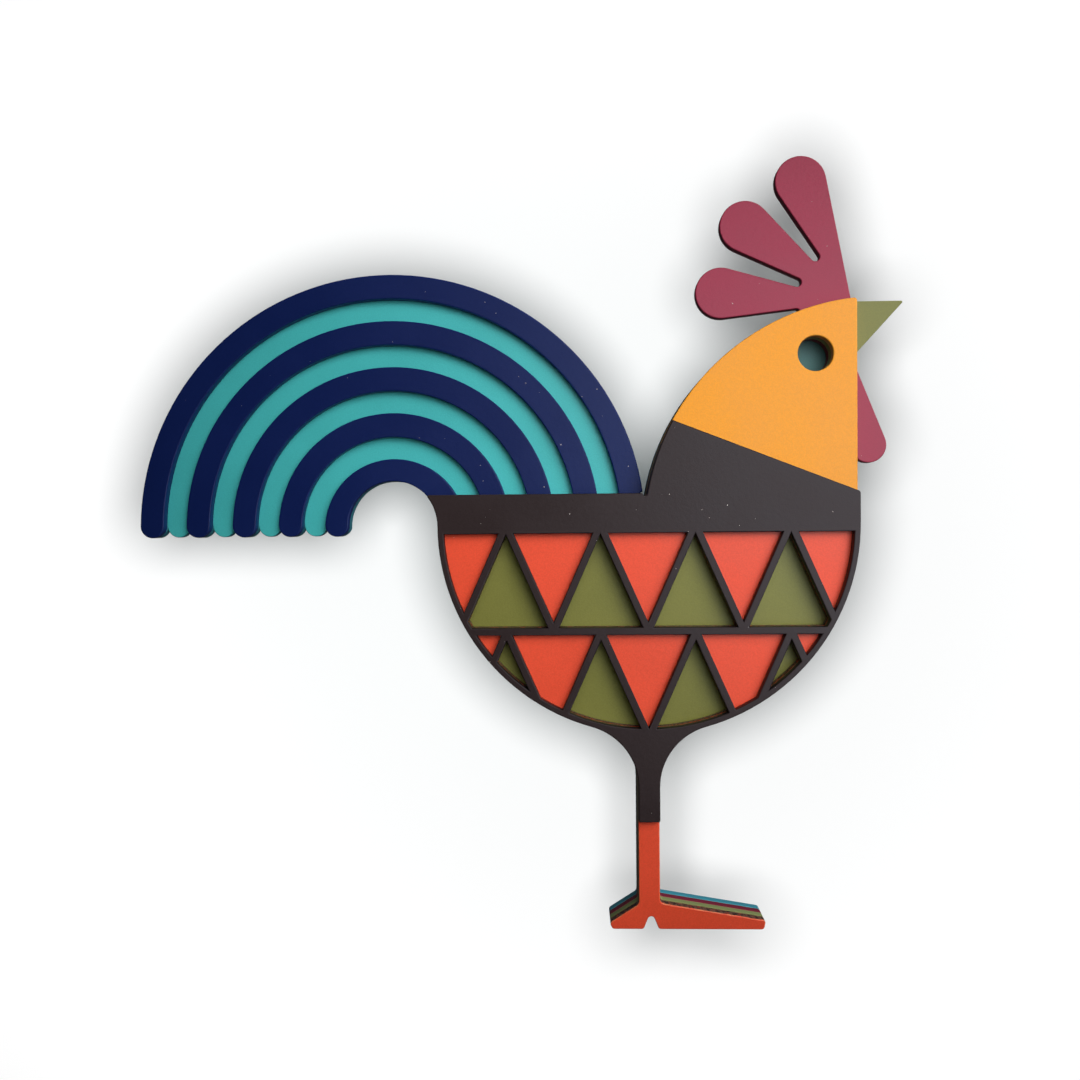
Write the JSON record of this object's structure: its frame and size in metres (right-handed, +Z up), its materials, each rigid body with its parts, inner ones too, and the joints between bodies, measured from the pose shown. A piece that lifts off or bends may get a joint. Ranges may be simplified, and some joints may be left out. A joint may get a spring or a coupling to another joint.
{
  "type": "rooster wall ornament",
  "caption": "Flat wall ornament of a standing rooster in profile, built of painted sheets glued in layers, with a ringed tail, a triangle lattice breast and keyholes in its back.",
  "frame": {"origin": "midway between the entry holes of the two keyholes, on the wall plane", "axes": "+X to the right as seen from the front, +Y from the front towards the wall, +Z up"},
  "size_m": [0.2354, 0.015, 0.2352],
  "materials": {
    "teal_paint": "satin paint",
    "navy_paint": "satin paint",
    "maroon_paint": "satin paint",
    "olive_paint": "satin paint",
    "orange_paint": "satin paint",
    "yellow_paint": "satin paint",
    "black_paint": "satin paint"
  },
  "bodies": {
    "root": {"teal_back_plate": "teal_paint", "navy_tail_plate": "navy_paint", "maroon_comb_plate": "maroon_paint", "green_beak_plate": "olive_paint", "orange_breast_plate": "orange_paint", "yellow_head_plate": "yellow_paint", "black_front_frame": "black_paint"}
  },
  "joints": []
}
